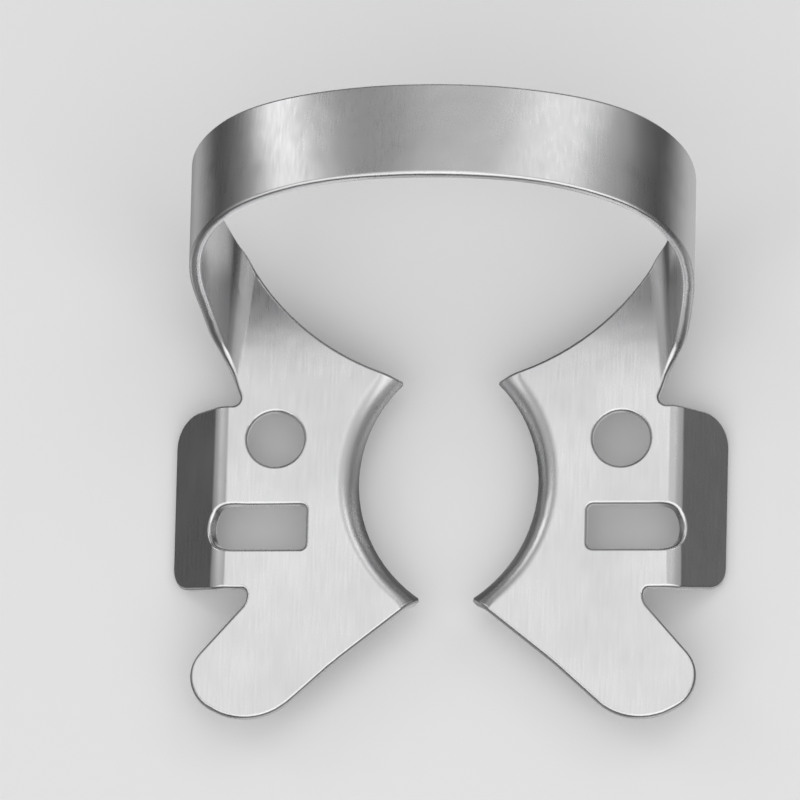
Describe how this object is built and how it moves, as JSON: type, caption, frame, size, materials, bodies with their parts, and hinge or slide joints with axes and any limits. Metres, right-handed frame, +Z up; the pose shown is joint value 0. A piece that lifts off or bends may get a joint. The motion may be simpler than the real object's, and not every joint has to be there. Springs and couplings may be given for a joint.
{
  "type": "rubber dam clamp",
  "caption": "Winged spring-steel clamp: level jaw plates with curved turned-down tooth jaws, forceps holes, slots and wings, joined by a high arched bow.",
  "frame": {"origin": "midway between the two jaws, level with the upper faces of the jaw plates", "axes": "+Y towards the bow at the back, +Z up away from the gum, +X across from one jaw to the other"},
  "size_m": [0.027, 0.0281, 0.0167],
  "materials": {
    "spring_steel": "satin polished stainless spring steel"
  },
  "bodies": {
    "root": {"clamp_body": "spring_steel"}
  },
  "joints": []
}
